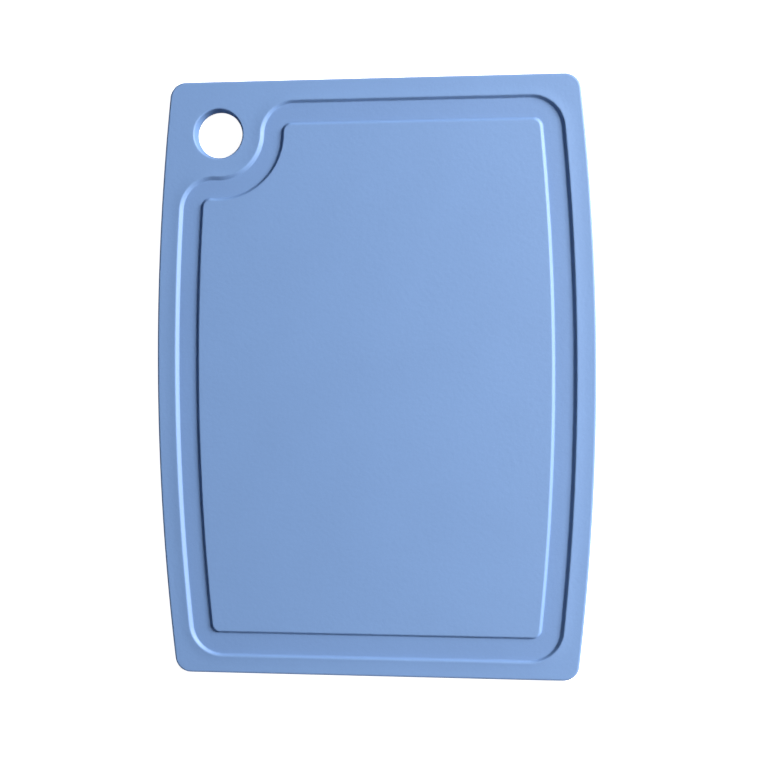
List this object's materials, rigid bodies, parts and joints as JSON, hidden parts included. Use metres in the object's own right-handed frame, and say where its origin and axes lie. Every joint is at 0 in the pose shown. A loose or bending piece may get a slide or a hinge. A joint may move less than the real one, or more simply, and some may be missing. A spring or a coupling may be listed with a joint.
{
  "type": "cutting board",
  "caption": "Flat moulded plastic cutting board with bowed sides, a juice groove round a raised cutting face, a corner hanging hole and push-in rubber feet.",
  "frame": {"origin": "middle of the board in the plane that the feet stand on", "axes": "+Z out of the cutting face, +Y along the board towards the end with the hanging hole, +X to the right with the hole at the far left"},
  "size_m": [0.258, 0.35, 0.0095],
  "materials": {
    "board_plastic": "fine sparked mould grain",
    "foot_rubber": "matt"
  },
  "bodies": {
    "root": {"board": "board_plastic", "foot_front_left": "foot_rubber", "foot_front_right": "foot_rubber", "foot_back_left": "foot_rubber", "foot_back_right": "foot_rubber"}
  },
  "joints": []
}
